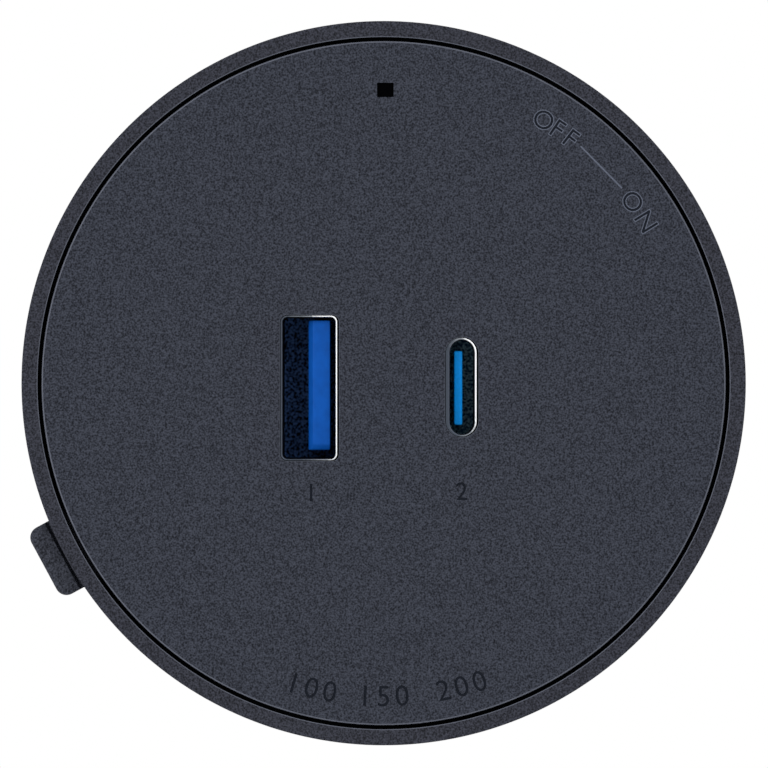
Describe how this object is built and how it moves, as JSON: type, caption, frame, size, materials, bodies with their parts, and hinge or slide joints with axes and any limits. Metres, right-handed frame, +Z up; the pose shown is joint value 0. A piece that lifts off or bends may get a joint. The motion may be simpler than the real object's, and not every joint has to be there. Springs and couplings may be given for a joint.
{
  "type": "power track usb adapter",
  "caption": "Round power track adapter with a wide and a narrow USB port, an indicator window, a sprung rim button that lifts a latch bolt, and a hammer-head foot that turns in the track.",
  "frame": {"origin": "centre of the rear seating plane that rests on the track, on the axis of the foot's neck", "axes": "+Y into the track along the foot, so the face looks along -Y; +Z up; +X to the right as the face is read"},
  "size_m": [0.063, 0.049, 0.063],
  "materials": {
    "housing_plastic": "spark-textured moulded plastic, anthracite",
    "cover_plastic": "spark-textured moulded plastic, anthracite",
    "button_plastic": "spark-textured moulded plastic, anthracite",
    "base_plastic": "fine-textured moulded plastic, black",
    "foot_plastic": "glass-filled nylon, black",
    "bolt_plastic": "natural acetal",
    "contact_brass": "stamped brass",
    "screw_steel": "zinc plated",
    "spring_steel": "drawn steel wire",
    "port_steel": "nickel-plated steel",
    "gold_contact": "gold-plated",
    "blue_plastic": "moulded plastic, blue",
    "circuit_board": "solder resist, green",
    "black_moulding": "moulded epoxy, black",
    "ferrite": "sintered ferrite, dark grey",
    "winding_tape": "polyester tape, yellow",
    "capacitor_can": "sleeved aluminium can",
    "dipped_coating": "dipped epoxy, blue",
    "led_chip": "clear epoxy on ceramic",
    "window_plastic": "tinted acrylic, black"
  },
  "bodies": {
    "body": {"housing": "housing_plastic", "front_cover": "cover_plastic", "rear_base": "base_plastic", "track_foot": "foot_plastic", "foot_cap": "foot_plastic", "latch_guide": "bolt_plastic", "live_contact": "contact_brass", "neutral_contact": "contact_brass", "earth_contact": "contact_brass", "rear_screws": "screw_steel", "foot_cap_screw": "screw_steel", "button_spring": "spring_steel", "bolt_spring": "spring_steel", "mains_board": "circuit_board", "usb_board": "circuit_board", "board_link": "black_moulding", "board_link_pins": "gold_contact", "transformer_core": "ferrite", "transformer_bobbin": "black_moulding", "transformer_winding": "winding_tape", "bulk_capacitors": "capacitor_can", "output_capacitor": "capacitor_can", "mains_choke": "ferrite", "fuse": "black_moulding", "varistor": "dipped_coating", "y_capacitor": "dipped_coating", "bridge_rectifier": "black_moulding", "usb_controller": "black_moulding", "indicator_led": "led_chip", "light_pipe": "window_plastic", "usb_a_shell": "port_steel", "usb_a_tongue": "blue_plastic", "usb_a_contacts": "gold_contact", "usb_c_shell": "port_steel", "usb_c_tongue": "blue_plastic", "usb_c_contacts": "gold_contact"},
    "button": {"release_button": "button_plastic"},
    "bolt": {"latch_bolt": "bolt_plastic"}
  },
  "joints": [
    {"name": "button_press", "type": "slide", "parent": "body", "child": "button", "axis": [0.8805, 0, 0.4741], "range_m": [0, 0.0018], "stiffness_N_per_m": 300, "springref_m": -0.004, "deforming": ["button_spring"]},
    {"name": "bolt_lift", "type": "slide", "parent": "body", "child": "bolt", "axis": [0, -1, 0], "range_m": [0, 0.0026], "stiffness_N_per_m": 150, "springref_m": -0.004, "deforming": ["bolt_spring"]}
  ],
  "couplings": [
    {"joint": "bolt_lift", "follows": "button_press", "ratio": 1.4}
  ]
}
